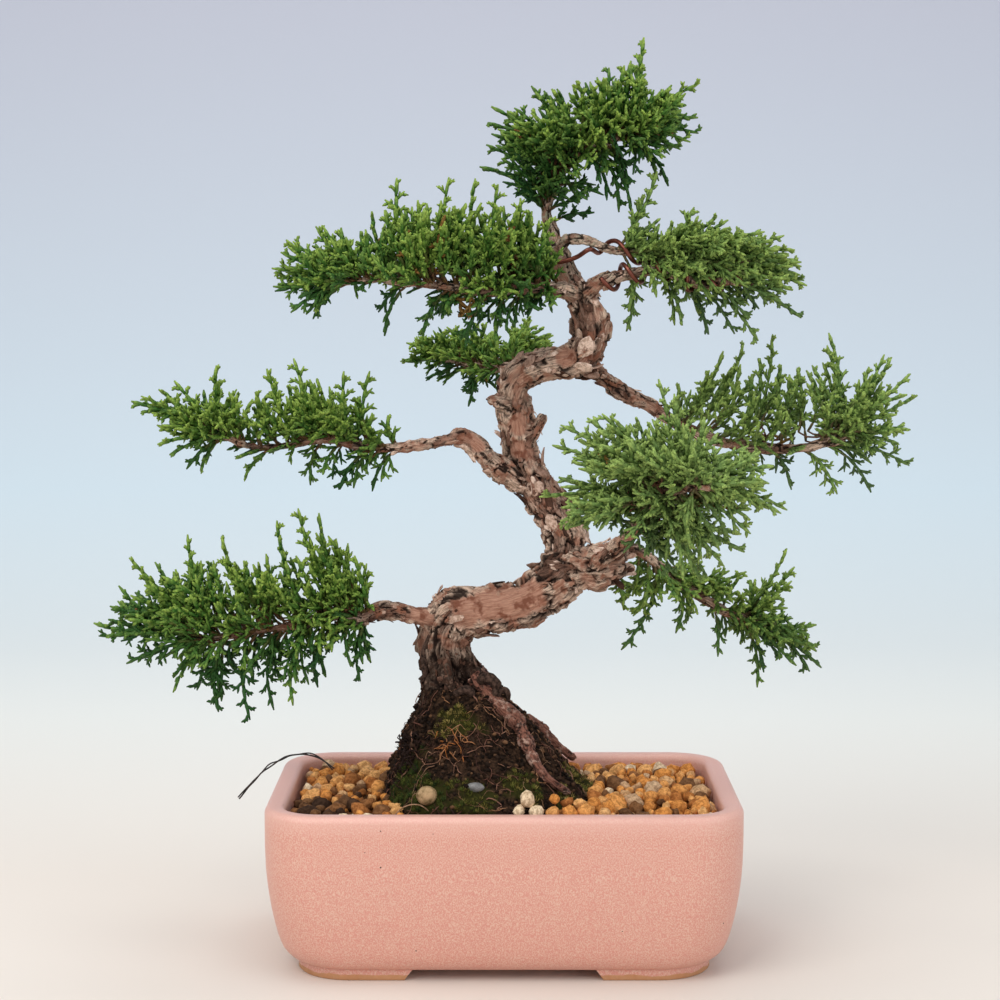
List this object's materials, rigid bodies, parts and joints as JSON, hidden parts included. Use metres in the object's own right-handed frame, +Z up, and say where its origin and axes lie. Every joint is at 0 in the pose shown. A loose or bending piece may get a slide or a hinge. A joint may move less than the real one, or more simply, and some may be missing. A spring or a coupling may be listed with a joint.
{
  "type": "juniper bonsai tree in a rectangular pot",
  "caption": "Informal-upright juniper bonsai with cloud-like foliage pads, planted in a rounded rectangular glazed pot with soil, moss and gravel.",
  "frame": {"origin": "middle of the pot's footprint on the surface it stands on", "axes": "+Z up, +X along the pot's long side to the right of the front view, +Y away from the front"},
  "size_m": [0.2625, 0.17, 0.293],
  "materials": {
    "glaze": "satin mottled pink glaze, bare clay under the feet",
    "mesh_plastic": "matt black moulded net",
    "clip_wire": "bare drawn wire",
    "soil": "damp dark potting soil",
    "moss": "moss tufts on dark root soil",
    "gravel": "dry baked clay and pumice grains",
    "pebble_tan": "matt weathered pebble",
    "pebble_grey": "smooth pale grey pebble",
    "bark": "flaking papery grey-brown bark over red-brown",
    "root": "smooth red-brown root skin",
    "stray_root": "thin black wiry root",
    "wire": "copper-brown anodised training wire",
    "foliage": "scale leaves, fresh green tips over deep green"
  },
  "bodies": {
    "root": {"pot": "glaze", "drain_mesh_left": "mesh_plastic", "mesh_clip_left": "clip_wire", "drain_mesh_right": "mesh_plastic", "mesh_clip_right": "clip_wire", "soil": "soil", "moss_mound": "moss", "gravel": "gravel", "pebble_tan": "pebble_tan", "pebble_grey": "pebble_grey", "trunk": "bark", "root_front": "root", "root_back": "root", "stray_root": "stray_root", "branch_lower_left": "bark", "branch_mid_left": "bark", "branch_upper_left": "bark", "branch_crown_left": "bark", "branch_back_left": "bark", "branch_upper_right": "bark", "branch_right_bough": "bark", "branch_mid_right": "bark", "branch_front_right": "bark", "branch_lower_right": "bark", "wire_upper_right": "wire", "wire_right_bough": "wire", "foliage_lower_left": "foliage", "foliage_mid_left": "foliage", "foliage_upper_left": "foliage", "foliage_back_left": "foliage", "foliage_apex": "foliage", "foliage_upper_right": "foliage", "foliage_mid_right": "foliage", "foliage_front_right": "foliage", "foliage_lower_right": "foliage"}
  },
  "joints": []
}
